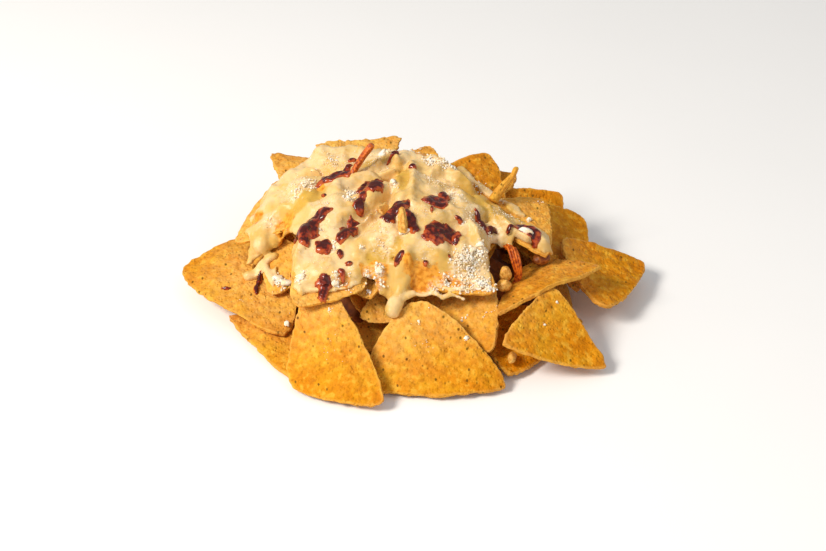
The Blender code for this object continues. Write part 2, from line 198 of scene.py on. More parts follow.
def heap_core_finish():
    """The middle of the heap, crumbs deep in the pile seen only through the gaps, painted dark red brown as
    painted shade.
    """
    material, tree, shader, where = new_finish("crumbs_in_shade", Roughness=0.8)
    crumbs = add(tree, "TexNoise", {"Vector": where, "Scale": 1 / (6 * MM), "Detail": 3})
    colour = tinted(tree, "5E2606", "9A5210", crumbs, 0.3, 0.7, 0, 1)
    bump = add(tree, "Bump", {"Height": crumbs, "Distance": 1.2 * MM})
    to_shader(tree, shader, Base_Color=colour, Normal=bump)
    return material


def cheese_sauce_finish():
    """Warm cheese sauce: an emulsion that scatters light inside, smooth and softly glossy, pale cream yellow,
    deeper and a little greener where it lies thin over a chip, and where painted shade lies on steep and
    shaded flanks."""
    material, tree, shader, where = new_finish(
        "cheese_sauce", Specular_IOR_Level=0.28, Subsurface_Weight=0.2, Subsurface_Radius=(1.0, 0.7, 0.35),
        Subsurface_Scale=2 * MM)
    thin_and_shade = add(tree, "Attribute", attribute_name="thin_and_shade").outputs["Fac"]
    cloud = add(tree, "TexNoise", {"Vector": where, "Scale": 1 / (16 * MM)})
    colour = tinted(tree, "ECCD98", "E3BA6C", cloud, 0.35, 0.7, 0, 1)
    # Deeper and greener where it lies thin, and where painted shade is laid on steep and shaded flanks
    colour = tinted(tree, colour, "CEA23C", thin_and_shade, 0, 1, 0, 0.9)
    # Streaks, 7 mm apart, where the sheet drew thin over the chips
    streaks = add(tree, "TexNoise", {"Vector": where, "Scale": 1 / (7 * MM), "Detail": 4, "Distortion": 0.8})
    colour = tinted(tree, colour, "DFAC50", streaks, 0.52, 0.66, 0, 0.6)
    # Where the chip is all but bare, its fried dough shows. A white dust lies where hard cheese was grated on
    bare = add(tree, "Attribute", attribute_name="bare").outputs["Fac"]
    dough = add(tree, "TexNoise", {"Vector": where, "Scale": 1 / (2.1 * MM), "Detail": 4})
    toasted = tinted(tree, "CE7C12", "F0A83A", dough, 0.35, 0.6, 0, 1)
    colour = tinted(tree, colour, toasted, bare, 0.1, 0.7, 0, 1)
    colour = dust_and_sheen_over(tree, where, colour, "F6E6CC", 1.3 * MM, 0.4, 0.6, 0.05, 0.75)
    # Specks of seasoning, about 0.6 mm wide, in one of every four cells of 4.2 mm
    share, _ = flecks(tree, where, 4.2 * MM, 0.05, 0.11, 0.75, 0.72, 0.75)
    colour = add(tree, "Mix", {"Factor": share, "A": colour, "B": linear("A8702A")}, **COLOUR)
    film = add(tree, "TexNoise", {"Vector": where, "Scale": 1 / (7 * MM)})
    dull = add(tree, "MapRange", {0: film, 1: 0.3, 2: 0.7, 3: 0.28, 4: 0.45}, **SMOOTH)
    # Fine wrinkles of the setting skin, about 3.5 mm apart
    skin = {"Vector": where, "Scale": 1 / (3.5 * MM), "Detail": 3, "Roughness": 0.45}
    wrinkles = add(tree, "TexNoise", skin)
    bump = add(tree, "Bump", {"Height": wrinkles, "Distance": 0.4 * MM, "Strength": 0.6})
    to_shader(tree, shader, Base_Color=colour, Roughness=dull, Normal=bump)
    return material


def dark_sauce_finish():
    """Thick sweet chilli sauce: a clear dark syrup with pulp, so it is nearly black red where it lies deep,
    and orange red at its thin rims, with a wet gloss."""
    material, tree, shader, where = new_finish(
        "dark_chilli_sauce", Roughness=0.24, IOR=1.4, Coat_Weight=0.25, Coat_Roughness=0.08)
    depth = add(tree, "Attribute", attribute_name="depth").outputs["Fac"]
    pulp = add(tree, "TexNoise", {"Vector": where, "Scale": 1 / (2.6 * MM), "Detail": 3})
    lumps = add(tree, "MapRange", {0: pulp, 1: 0.35, 2: 0.65, 3: -0.45, 4: 0.25}, **SMOOTH)
    deep = add(tree, "Math", {0: depth, 1: lumps}, operation="ADD")
    ramp = add(tree, "ValToRGB", {0: deep})
    stops = ramp.color_ramp.elements
    stops[0].position = 0.1
    stops[0].color = linear("B8521E")
    stops[1].position = 0.78
    stops[1].color = linear("470D05")
    stops.new(0.42).color = linear("8C2A0E")
    bump = add(tree, "Bump", {"Height": pulp, "Distance": 0.6 * MM, "Strength": 0.6})
    to_shader(tree, shader, Base_Color=ramp, Normal=bump)
    return material


def grated_cheese_finish():
    """Dry hard cheese, finely grated: white crumbs with cream shades, matte, light passes a little way in."""
    material, tree, shader, where = new_finish(
        "grated_hard_cheese", Roughness=0.6, Subsurface_Weight=0.3, Subsurface_Radius=(1.0, 0.8, 0.5),
        Subsurface_Scale=1.2 * MM)
    shades = add(tree, "TexNoise", {"Vector": where, "Scale": 1 / (3 * MM)})
    colour = tinted(tree, "FFF6E6", "F6DDB4", shades, 0.35, 0.65, 0, 1)
    crumb = add(tree, "TexNoise", {"Vector": where, "Scale": 1 / (0.5 * MM)})
    bump = add(tree, "Bump", {"Height": crumb, "Distance": 0.15 * MM})
    to_shader(tree, shader, Base_Color=colour, Normal=bump)
    return material


def meat_finish(name, light, dark, along=(1, 1, 1)):
    """Cooked meat: fibres along the piece, with darker roasted lines between them and a moist shine."""
    material, tree, shader, where = new_finish(
        name, Roughness=0.42, IOR=1.42, Subsurface_Weight=0.15, Subsurface_Radius=(1.0, 0.4, 0.2),
        Subsurface_Scale=1.5 * MM)
    stretched = add(tree, "Mapping", {"Vector": where, "Scale": along})
    fibres = add(tree, "TexNoise", {"Vector": stretched, "Scale": 1 / (1.4 * MM), "Detail": 3})
    colour = tinted(tree, dark, light, fibres, 0.35, 0.62, 0, 1)
    bump = add(tree, "Bump", {"Height": fibres, "Distance": 0.4 * MM})
    to_shader(tree, shader, Base_Color=colour, Normal=bump)
    return material


def table_finish():
    """A matt white table top, with the faintest clouding."""
    material, tree, shader, where = new_finish("matt_white_table", Roughness=0.9)
    cloud = add(tree, "TexNoise", {"Vector": where, "Scale": 1 / (90 * MM)})
    colour = add(tree, "Mix", {"Factor": cloud, "A": linear("FDFDFD"), "B": linear("FAFAFA")}, **COLOUR)
    to_shader(tree, shader, Base_Color=colour)
    return material


# ---------------------------------------------------------------- shared making

def piece_of(name, mesh, finish, node=None, smooth=True):
    """Turns a mesh into a piece that rides on the heap and, where a node is named, stands for it."""
    mesh.materials.clear()
    mesh.materials.append(finish)
    if smooth:
        mesh.polygons.foreach_set("use_smooth", [True] * len(mesh.polygons))
    obj = bpy.data.objects.new(name, mesh)
    bpy.context.scene.collection.objects.link(obj)
    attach(obj, "root")
    if node:
        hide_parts(node)


def applied(bm, *modifiers):
    """The mesh that a list of (type, settings) modifiers makes of a bmesh."""
    mesh = bpy.data.meshes.new("worked")
    bm.to_mesh(mesh)
    bm.free()
    obj = bpy.data.objects.new("worked", mesh)
    bpy.context.scene.collection.objects.link(obj)
    for kind, settings in modifiers:
        modifier = obj.modifiers.new(kind.lower(), kind)
        for key, value in settings.items():
            setattr(modifier, key, value)
    graph = bpy.context.evaluated_depsgraph_get()
    result = bpy.data.meshes.new_from_object(obj.evaluated_get(graph))
    bpy.data.objects.remove(obj)
    bpy.data.meshes.remove(mesh)
    return result


def subdivided(bm, levels):
    """A bmesh made finer and rounder, as a mesh."""
    return applied(bm, ("SUBSURF", {"levels": levels, "render_levels": levels}))


def points_of(mesh):
    points = np.empty(len(mesh.vertices) * 3, np.float32)
    mesh.vertices.foreach_get("co", points)
    return points.reshape(-1, 3).astype(float)


def normals_of(mesh):
    normals = np.empty(len(mesh.vertices) * 3, np.float32)
    mesh.vertex_normals.foreach_get("vector", normals)
    return normals.reshape(-1, 3).astype(float)


def set_points(mesh, points):
    mesh.vertices.foreach_set("co", points.astype(np.float32).ravel())
    mesh.update()


def set_attribute(mesh, name, values):
    attribute = mesh.attributes.new(name, "FLOAT", "POINT")
    attribute.data.foreach_set("value", np.asarray(values, np.float32))


def tree_of(meshes):
    """One search tree over several meshes."""
    points, faces, start = [], [], 0
    for mesh in meshes:
        points += [v.co.copy() for v in mesh.vertices]
        faces += [tuple(index + start for index in p.vertices) for p in mesh.polygons]
        start += len(mesh.vertices)
    return BVHTree.FromPolygons(points, faces)


def nearest_among(points):
    """A search tree that finds the nearest of some points."""
    tree = KDTree(len(points))
    for key, point in enumerate(points):
        tree.insert(point, key)
    tree.balance()
    return tree


# ---------------------------------------------------------------- chips

RIM_ANGLE = math.radians(50)  # faces that meet more sharply than this are a face and the rim
RIM_CREASE = 0.72
RIM_FACING = 0.45  # where the surface faces less than this along the chip's own facing, it is the rim
CHIP_LEVELS = 3
SHARD_NODE = "chip_shard_right"  # a thin splinter, made as a strand
WELD = 0.01 * MM
# The waves of a chip's surface: how high in mm, and how wide
BEND, BEND_WIDTH = 1.5, 17 * MM
BLISTER, BLISTER_WIDTH = 1.3, 5.6 * MM
SMALL_BLISTER, SMALL_BLISTER_WIDTH = 0.8, 2.7 * MM
BLISTER_FOOT = 0.45  # the creases between blisters lie this far below the dough, in mm
NEAR_RIM = 2.2  # how far in the broken rim reaches, in mm
RIM_FLATTER = 0.6  # the share of a blister's height that is lost at the rim
# How far the rim is broken in mm, how wide the teeth are, and where bites are taken and how deep
TOOTH, TOOTH_WIDTH = 0.8, 5.5 * MM
SMALL_TOOTH, SMALL_TOOTH_WIDTH = 0.5, 2.1 * MM
BITE, BITE_FROM = 2.2, 0.38


def welded(node):
    """A node's mesh with the points that the frame splits made one again."""
    bm = bmesh.new()
    bm.from_mesh(NODES[node].data)
    bmesh.ops.remove_doubles(bm, verts=bm.verts[:], dist=WELD)
    bm.normal_update()
    return bm


# How far each chip was fried: 0 is pale gold, 1 is brown. The rest lie between PALEST and DARKEST.
FRIED = {
    "chip_back_right": 1.0, "chip_right_upper": 0.45, "chip_right_back": 0.6, "chip_back_right_low": 0.8,
    "chip_right_back_inner": 0.8, "chip_right": 0.6, "chip_right_curled": 0.7, "chip_right_front": 0.3,
    "chip_middle_right_front": 0.35, "chip_low_right": 0.9, "chip_front_small": 0.3,
    "chip_upper_back_right": 0.9, "chip_upper_back_right_rear": 0.9, "chip_front_left": 0.3,
    "chip_front_middle": 0.3, "chip_left": 0.4,
}
PALEST, DARKEST = 0.15, 0.6
# Chips at the crest have broken rims
BROKEN = {
    "chip_crest_left": 3.0, "chip_crest_right": 2.6, "chip_upper_back_left": 1.8,
    "chip_upper_back_left_rear": 1.8,
}


def fried_of(node):
    """How brown a chip is, from 0 to 1."""
    return FRIED.get(node, PALEST + (DARKEST - PALEST) * (len(node) * 0.618 % 1))


def fine_chip(bm, seed, fried, ragged):
    """A chip's mesh, finely divided, wavy, with blisters and a rim broken by a share, of which 1 is usual."""
    crease = bm.edges.layers.float.new("crease_edge")
    for edge in bm.edges:
        if len(edge.link_faces) == 2 and edge.calc_face_angle() > RIM_ANGLE:
            edge[crease] = RIM_CREASE
    mesh = subdivided(bm, CHIP_LEVELS)
    points, normals = points_of(mesh), normals_of(mesh)
    middle = points.mean(0)
    # The chip's own plane, from the spread of its points
    facing = np.linalg.svd(points[::7] - middle)[2][2]
    rim = nearest_among(points[np.abs(normals @ facing) < RIM_FACING])
    from_rim = np.array([rim.find(point)[2] for point in points]) / MM
    reach = np.linalg.norm(points - middle, axis=1)
    corner = reach / reach.max()
    shift = Vector((seed * 0.37, seed * 0.11, seed * 0.23))
    moved = np.empty_like(points)
    for key, (point, normal) in enumerate(zip(points, normals)):
        at = Vector(point)
        away = Vector(point - middle)
        away -= Vector(facing) * away.dot(Vector(facing))
        away.normalize()
        bend = BEND * noise.noise(at / BEND_WIDTH + shift)
        # Blisters are round on top, with creases between them
        large = BLISTER * abs(noise.noise(at / BLISTER_WIDTH + shift))
        blister = large + SMALL_BLISTER * abs(noise.noise(at / SMALL_BLISTER_WIDTH - shift)) - BLISTER_FOOT
        near = math.exp(-from_rim[key] / NEAR_RIM)
        nibble = noise.noise(at / TOOTH_WIDTH - shift)
        teeth = TOOTH * nibble + SMALL_TOOTH * noise.noise(at / SMALL_TOOTH_WIDTH + shift)
        broken = teeth - BITE * max(0, nibble - BITE_FROM)
        moved[key] = point + (Vector(facing) * bend + Vector(normal) * blister * (1 - RIM_FLATTER * near)
                              + away * broken * ragged * near) * MM
    set_points(mesh, moved)
    set_attribute(mesh, "from_rim", from_rim)
    set_attribute(mesh, "corner", corner)
    set_attribute(mesh, "tone", [fried] * len(points))
    return mesh


def add_chips(finish):
    """Rebuilds every chip of the frame finely, in its place."""
    meshes = {}
    for seed, node in enumerate(sorted(name for name in NODES if name.startswith("chip"))):
        if node == SHARD_NODE:
            continue
        mesh = fine_chip(welded(node), seed, fried_of(node), BROKEN.get(node, 1))
        piece_of(node + "_fried", mesh, finish, node)
        meshes[node] = mesh
    return meshes


# Pieces of broken chip that show between the runs of sauce: the chip they look like, their middle in mm, the
# way they face, a turn in degrees, and their size as a share of that chip
CHIP_PIECES = (
    ("chip_front_small", (-63, -11.5, 23.5), (-0.22, -0.35, 0.9), 15, 0.78),
    ("chip_front_small_inner", (-18, -43.5, 20.5), (0.1, -0.5, 0.85), 40, 0.42),
)
PIECES_SEED = 70
PIECES_DUST = 0.5


def copied_chip(node, centre, upright, turn, size):
    """A copy of a chip, as a bmesh, moved to a centre, faced along a direction, turned and made smaller."""
    bm = welded(node)
    middle = sum((vert.co for vert in bm.verts), Vector()) / len(bm.verts)
    facing = sum((face.normal * face.calc_area() for face in bm.faces if face.normal.z > 0.3), Vector())
    aligned = Matrix.Rotation(turn, 3, upright) @ facing.rotation_difference(upright).to_matrix()
    for vert in bm.verts:
        vert.co = centre + aligned @ ((vert.co - middle) * size)
    return bm


def add_chip_pieces(finish):
    meshes = []
    for count, (node, middle, facing, turn, size) in enumerate(CHIP_PIECES):
        bm = copied_chip(node, Vector(middle) * MM, Vector(facing).normalized(), math.radians(turn), size)
        mesh = fine_chip(bm, PIECES_SEED + count, PALEST, 1)
        piece_of(f"chip_piece_{count}", mesh, finish)
        set_attribute(mesh, "dust_and_sheen", [PIECES_DUST] * len(mesh.vertices))
        meshes.append(mesh)
    return meshes


DUST_REACH = 22 * MM
DUST_FULL = 4  # a heap leaves full dust if it has this many crumbs for its spread in mm, squared
DUST_SPREAD, DUST_FIRM = 1.3, 1.4  # how far dust reaches past a heap, and how sharp its rim is


def add_dust_and_sheen(chips, sauce):
    """Marks how much each chip is painted paler: cheese dust near the sauce and on pale chips, most on top,
    where the paler tint is also a painted sheen on the faces turned up to the light.
    """
    near = nearest_among([vert.co for vert in sauce.vertices])
    for node, mesh in chips.items():
        distances = np.array([near.find(vert.co)[2] for vert in mesh.vertices])
        # Faces turned up are painted paler: a painted sheen, as light falls on the tops of the chips
        upward = np.clip(normals_of(mesh)[:, 2], 0, 1)
        set_attribute(mesh, "dust_and_sheen", np.exp(-(distances / DUST_REACH) ** 2) * upward * (1 - fried_of(node)))


# ---------------------------------------------------------------- reading the pile

class Field:
    """Heights over a square grid of spots, as an array with a row for each y."""

    def __init__(self, low, high, cell):
        self.cell = cell
        self.xs = np.arange(low[0], high[0] + cell, cell)
        self.ys = np.arange(low[1], high[1] + cell, cell)
        self.x, self.y = np.meshgrid(self.xs, self.ys)

    def tops(self, tree, missing=0.0):
        """The height of what lies uppermost at every spot."""
        found = np.full(self.x.shape, missing)
        for index, x in np.ndenumerate(self.x):
            hit = tree.ray_cast(Vector((x, self.y[index], ABOVE)), DOWN)[0]
            if hit:
                found[index] = hit.z
        return found

    def patch(self, patch):
        """1 at the middle of a patch given in mm, 0 on its rim, and less beyond."""
        x, y, half_length, half_width, turn = patch
        turned = math.radians(turn)
        along = ((self.x / MM - x) * math.cos(turned) + (self.y / MM - y) * math.sin(turned)) / half_length
        across = ((self.y / MM - y) * math.cos(turned) - (self.x / MM - x) * math.sin(turned)) / half_width
        return 1 - along ** 2 - across ** 2

    def dusted(self):
        """How much fine cheese dust lies at every spot: 1 in the middle of a heap of grated cheese."""
        found = np.zeros(self.x.shape)
        for x, y, spread, count, _ in CRUMB_HEAPS:
            heaped = min(1, count / spread ** 2 / DUST_FULL)
            reach = spread * DUST_SPREAD
            found = np.maximum(found, heaped * np.clip(DUST_FIRM * self.patch((x, y, reach, reach, 0)), 0, 1))
        return found

    def covered(self, patches, firm, uneven=0.0):
        """From 0 to 1 at every spot: how far it is covered by patches, whose rims are sharper the firmer."""
        found = np.zeros(self.x.shape)
        for patch in patches:
            found = np.maximum(found, np.clip(firm * self.patch(patch) + uneven, 0, 1))
        return found

    def distance_to(self, places):
        """The distance from every spot to a line through places given in mm."""
        nearest = np.full(self.x.shape, np.inf)
        spots = np.dstack((self.x, self.y))
        for first, second in zip(np.array(places) * MM, np.array(places[1:]) * MM):
            along = second - first
            share = np.clip(((spots - first) @ along) / (along @ along), 0, 1)
            nearest = np.minimum(nearest, np.linalg.norm(spots - first - share[..., None] * along, axis=2))
        return nearest

    def at(self, values, points):
        """What an array over the grid says at the spots nearest to an array of points."""
        columns = np.clip(np.rint((points[:, 0] - self.xs[0]) / self.cell).astype(int), 0, len(self.xs) - 1)
        rows = np.clip(np.rint((points[:, 1] - self.ys[0]) / self.cell).astype(int), 0, len(self.ys) - 1)
        return values[rows, columns]

    def waves(self, size, seed):
        """Noise between about -0.5 and 0.5, with waves of the given size."""
        found = np.empty(self.x.shape)
        for index, x in np.ndenumerate(self.x):
            found[index] = noise.noise(Vector((x / size, self.y[index] / size, seed * 3.7)))
        return found


def blurred(values, times=1):
    """Each value made the mean of itself and its neighbours, a number of times."""
    for _ in range(times):
        wide = np.pad(values, 1, mode="edge")
        beside = wide[:-2, 1:-1] + wide[2:, 1:-1] + wide[1:-1, :-2] + wide[1:-1, 2:]
        values = (wide[1:-1, 1:-1] * 4 + beside * 2 + wide[:-2, :-2] + wide[:-2, 2:] + wide[2:, :-2]
                  + wide[2:, 2:]) / 16
    return values


def distance_inside(mask, cell):
    """For every spot of a mask, its distance to the nearest spot outside it."""
    tree = nearest_among([(row, column, 0) for row, column in np.argwhere(~mask)])
    found = np.zeros(mask.shape)
    for row, column in np.argwhere(mask):
        found[row, column] = tree.find((row, column, 0))[2] * cell
    return found


def slopes(heights, cell):
    """Unit normals of a height field, as an array of rows, columns and x, y, z."""
    down_y, down_x = np.gradient(heights, cell)
    normals = np.dstack((-down_x, -down_y, np.ones_like(heights)))
    return normals / np.linalg.norm(normals, axis=2, keepdims=True)


def slab(mask, under, over):
    """A closed bmesh between two arrays of points, over the cells whose four corners are in a mask."""
    bm = bmesh.new()
    layers = []
    for points in (under, over):
        layers.append({tuple(key): bm.verts.new(points[tuple(key)]) for key in np.argwhere(mask)})
    lower, upper = layers
    used = {}
    for row, column in np.argwhere(mask[:-1, :-1] & mask[1:, :-1] & mask[:-1, 1:] & mask[1:, 1:]):
        ring = [(row, column), (row, column + 1), (row + 1, column + 1), (row + 1, column)]
        bm.faces.new([upper[key] for key in ring])
        bm.faces.new([lower[key] for key in reversed(ring)])
        for first, second in zip(ring, ring[1:] + ring[:1]):
            used[first, second] = True
    for first, second in used:
        if (second, first) not in used:
            bm.faces.new([upper[second], upper[first], lower[first], lower[second]])
    bmesh.ops.delete(bm, geom=[vert for vert in bm.verts if not vert.link_faces], context="VERTS")
    return bm


def on_pile(tree, x, y):
    """The point and normal on top of the pile at a place given in mm, or None beside it."""
    hit, normal, _, _ = tree.ray_cast(Vector((x * MM, y * MM, ABOVE)), DOWN)
    if hit is None:
        return None
    return hit, normal if normal.z > 0 else -normal


# ---------------------------------------------------------------- cheese sauce

SAUCE_CELL = 0.9 * MM  # the grid that the sheet is made on
SAUCE_LEAST = 0.9 * MM
SAUCE_RIM_THICK = 1.2 * MM
SAUCE_RIM = 6 * MM  # how far in from its rim the sheet reaches its full thickness
SAUCE_SETTLED = 1.2 * MM  # how far the sauce has settled below the top of the frame's sheet
SAUCE_SUNK = 1.6 * MM  # how far the sauce reaches below the tops of the chips it sticks to
SAUCE_SQUARE = 4 * MM  # how far it rises square to them
SAUCE_DROOP = 2.5 * MM  # how far a rim that hangs free has sagged
SAUCE_HANG_THICK = 2.6 * MM  # how thick the sheet is at such a rim
SAUCE_HANG_SLOPE = 1.0  # and how much thicker it gets for each metre inwards
SAUCE_VOXEL = 0.75 * MM
SAUCE_SAG = 60  # rounds of levelling between the chips
SAUCE_RELIEF = 14  # rounds of blurring that tell the chips' edges from the heap's own shape
SAUCE_LEAST_UPRIGHT = 0.35  # how little of its height a sheet on a steep chip keeps
SAUCE_BARE_SUNK = 1.4 * MM  # how much lower it lies where a chip is all but bare
SAUCE_WAVES = ((1.5, 15, 3), (1.6, 6, 4), (1.0, 3, 8))  # height and width in mm, and a seed
# Where it is steeper than this it is painted deeper and greener, by a rate, up to a most: partly thin
# sauce, partly painted shade
SAUCE_STEEP, SAUCE_STEEP_RATE, SAUCE_STEEP_MOST = 0.14, 1.6, 0.7
# The rim: how firm its lobes and openings are, and its unevenness as (height, width in mm, seed)
LOBE_FIRM, OPENING_FIRM = 0.6, 0.8
SAUCE_RIM_WAVES = ((0.3, 5, 1), (0.2, 2.5, 2))
HANGING_FIRM, FILM_FIRM, BARE_FIRM = 3, 2, 1.6  # how sharp the rims of these patches are
BARE_UNEVEN, BARE_UNEVEN_WIDTH, BARE_SEED = 0.9, 3 * MM, 12
# The skin of the sauce: waves of two widths, the finer ones higher under grated cheese, in mm
SKIN, SKIN_WIDTH = 0.34, 4.5 * MM
FINE_SKIN, FINE_SKIN_DUSTED, FINE_SKIN_WIDTH = 0.2, 0.5, 1.9 * MM
SAUCE_SMOOTHING = ("SMOOTH", {"factor": 0.5, "iterations": 4})
RUN_LIFT = 0.4  # how far a run's middle lies above the chip, as a share of its half width
BEAD_STEP = 0.5  # how far apart the beads of a run are, as a share of its radius

# Patches in mm: middle, half length, half width, and direction in degrees
SAUCE_LOBES = (
    (-73, 4, 8, 5, 0), (-18, -38, 10, 6, -10), (26, 33, 7, 3, -50), (36, 24, 7, 3, -45), (4, -39, 12, 6, 0),
    (48, 12, 8, 3, -42), (-79, 18, 5, 4, 40), (14, -36, 14, 5, 0), (-50, -46, 7, 4, 0), (28, -38, 9, 5, 0),
)
SAUCE_OPENINGS = (
    (50, -28, 14, 12.5, 0), (41.5, -23, 7, 9, 20), (-13, -52, 10, 7.5, 0), (-58, -53, 5, 4.5, 0),
    (-62, -13, 5, 9, 0), (-62, -27, 6, 8, 15), (-34, -49.5, 5, 1.6, 10), (-70, -8, 6, 5, 0),
    (-78, -7.5, 6, 2.6, 10), (-88, 0, 6, 9, 0),
)
# Where the sheet hangs free over a gap, instead of falling into it
SAUCE_HANGING = ((45, -23, 27, 23, 0), (-60, -20, 18, 28, 0), (-15, 28, 14, 10, 0), (19, 24, 14, 8, 0))
# Where a chip under the sheet is all but bare, and where the sheet is painted deeper and greener: partly
# a thin film, partly painted shade
SAUCE_BARE = (
    (-79, 10, 4.6, 5, 20), (-63.5, 0, 6, 5, -8), (4, -41, 12, 3.6, 0), (14, -41, 8, 2.6, 0),
    (-33, -46, 4, 2, 20), (-19, -41, 8, 3.4, 0), (-46, 12, 2, 4, 30), (3, 40, 4, 5, 0), (-80, 20, 4, 2, 45),
)
SAUCE_THIN_AND_SHADE = (
    (38, 6, 28, 12, -42), (-50, 6, 9, 6, 30), (-58, 2, 8, 4, 0), (-18, -36, 6, 6, 0), (-9, -33, 3, 7, -20),
    (-6, 14, 4, 13, 0), (-20, 29, 8, 4, 20),
)

# Folds of the sheet: height and half width in mm, and the places they pass, in mm. A furrow's height is
# negative.
SAUCE_FOLDS = (
    (2.2, 1.8, ((-1.5, 27), (-1.5, 8), (-2, -8))), (-3.2, 2.2, ((-5.5, 27), (-5.5, 12), (-6.5, 2))),
    (-5.0, 4.0, ((-27, 9), (-21, 11), (-15, 14))), (2.2, 2.6, ((-28, 17), (-20, 19), (-10, 21))),
    (-2.4, 3.2, ((-13, -3), (-5, -6), (-1, -16))), (1.4, 2.0, ((-12, -9), (-7, -12))),
    (-2.6, 2.8, ((-5, -26), (-10, -32), (-14, -38))), (1.2, 3.0, ((0, -25), (-3, -33), (-10, -41))),
    (1.6, 2.4, ((-38, 12), (-36, 2), (-38, -8))), (-1.6, 2.6, ((-31, 8), (-29, -4), (-33, -14))),
    (-1.4, 2.2, ((-45, 8), (-48, 0), (-47, -10))), (1.7, 2.5, ((-52, 16), (-58, 10), (-66, 8))),
    (1.6, 2.2, ((-66, -8), (-62, -14), (-60, -22))), (-1.5, 2.0, ((-25, 4), (-27, -8), (-32, -18))),
    (1.3, 2.2, ((-20, 6), (-18, -4), (-22, -14))), (-1.3, 3.0, ((-18, -18), (-22, -26), (-20, -34))),
    (1.5, 3.0, ((-40, 26), (-46, 34), (-56, 30))), (1.2, 2.0, ((-10, 40), (2, 38), (12, 34))),
    (1.5, 2.0, ((12, 32), (26, 22), (40, 10), (56, -2))), (-1.3, 2.5, ((10, 20), (16, 8), (20, -4))),
    (-1.2, 2.4, ((28, 4), (36, -4), (42, -10))), (1.5, 2.2, ((46, -14), (54, -16), (62, -14))),
)

# Runs of sauce that leave the sheet: half width in mm, and the places they pass, in mm, with a height where
# they hang free
SAUCE_RUNS = (
    (3.0, ((-3.5, -40, 38.5), (-5.5, -43, 35), (-7.5, -46, 31.5), (-9.5, -50, 27.6), (-10.5, -52.5, 26))),
    (4.0, ((-9, -49.5, 28.5), (-10.5, -52.5, 26.4))),
    (5.0, ((-73, 3, 33.5), (-74, -1, 31.5), (-74.5, -2.5, 29.5))),
    (4.4, ((-68.5, 1.5, 33), (-69, -1, 31.5))), (2.8, ((-81, -11.5), (-79, -10.5))),
    (2.0, ((-79, -10.5), (-74, -8), (-68.5, -6))), (2.0, ((-74, -8), (-71.5, -14), (-68.5, -21))),
    (1.2, ((-53, -47.5, 36.8), (-47, -49, 36), (-40, -49.4, 36))),
    (0.9, ((-40, -49.4, 36), (-33, -47.8, 35.8), (-26, -43.8, 36))),
    (1.7, ((-6, -48, 30), (-1, -45.6, 31.4))),
    (1.0, ((-1, -45.6, 31.4), (4, -46.2, 30.2), (9, -45.4, 31.6))),
    (1.3, ((9, -45.4, 31.6), (13, -46.6, 29.4), (17, -45.6, 30.8))),
    (0.9, ((17, -45.6, 30.8), (23, -46.8, 28.8))),
    (1.0, ((9, -41), (13, -43), (20, -45), (27, -45), (35, -42.5))),
)


def tube(bm, spots, radius):
    """Adds overlapping round beads along a line of points, close enough to flow into one run."""
    for first, second in zip(spots, spots[1:]):
        steps = max(1, math.ceil((second - first).length / (radius * BEAD_STEP)))
        for step in range(steps + 1):
            centre = first.lerp(second, step / steps)
            bmesh.ops.create_icosphere(bm, subdivisions=2, radius=radius, matrix=Matrix.Translation(centre))


def sauce_outline(field, cad_tops):
    """Above zero where there is sauce: the frame's sheet with its lobes, less its openings, and uneven."""
    level = blurred((cad_tops > 0).astype(float), 5) - 0.5
    for patch in SAUCE_LOBES:
        level = np.maximum(level, LOBE_FIRM * field.patch(patch))
    for patch in SAUCE_OPENINGS:
        level = np.minimum(level, -OPENING_FIRM * field.patch(patch))
    for height, width, seed in SAUCE_RIM_WAVES:
        level = level + height * field.waves(width * MM, seed)
    return level


